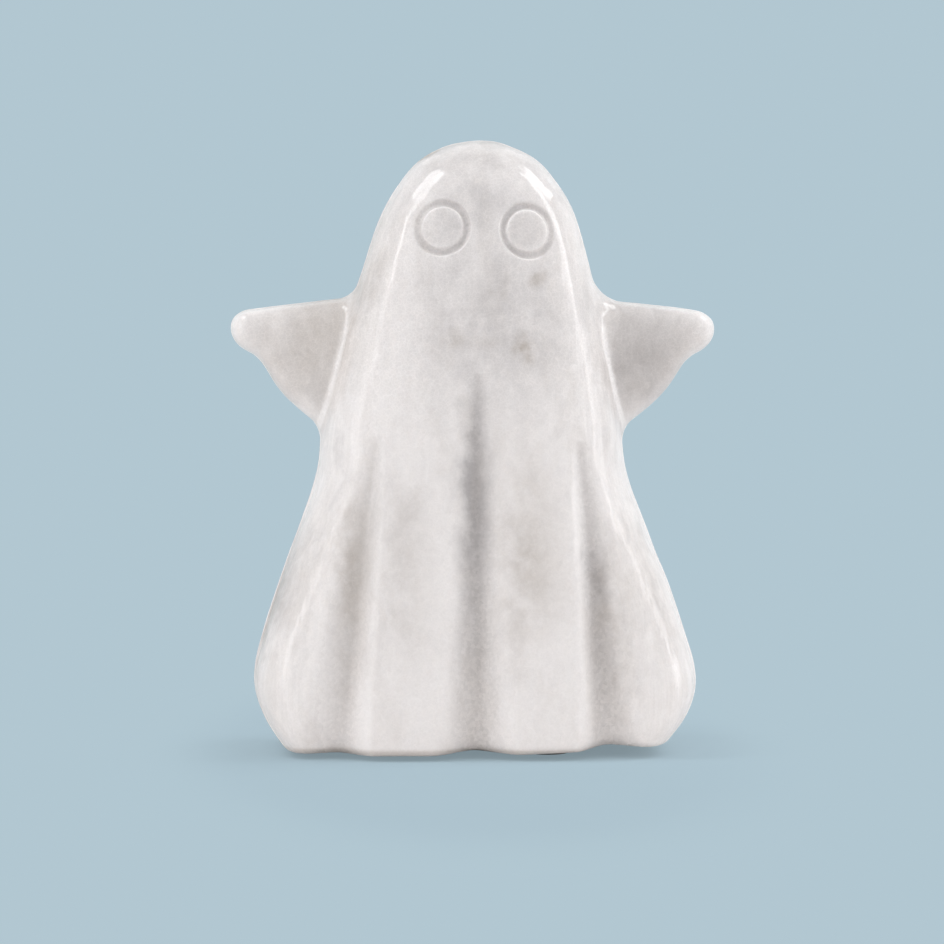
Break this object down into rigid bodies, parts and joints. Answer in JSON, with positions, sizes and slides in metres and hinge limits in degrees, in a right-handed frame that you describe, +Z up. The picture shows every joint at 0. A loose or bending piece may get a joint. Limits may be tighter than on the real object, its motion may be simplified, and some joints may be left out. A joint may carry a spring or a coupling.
{
  "type": "marble ghost carving",
  "caption": "Polished marble carving of a draped sheet ghost with short outstretched arms, ring eyes and fluted drapery, standing on felt pads.",
  "frame": {"origin": "centre of the footprint, on the surface that the felt pads stand on", "axes": "+Z up; the ghost's face looks towards -Y; +X towards the viewer's right"},
  "size_m": [0.12, 0.062, 0.1512],
  "materials": {
    "marble": "white marble with faint grey clouds, carved and polished to a gloss",
    "felt": "pressed felt, charcoal grey",
    "adhesive": "thin adhesive film"
  },
  "bodies": {
    "root": {"marble_ghost": "marble", "felt_pad_front_left": "felt", "felt_pad_front_right": "felt", "felt_pad_rear_left": "felt", "felt_pad_rear_right": "felt", "pad_adhesive_front_left": "adhesive", "pad_adhesive_front_right": "adhesive", "pad_adhesive_rear_left": "adhesive", "pad_adhesive_rear_right": "adhesive"}
  },
  "joints": []
}
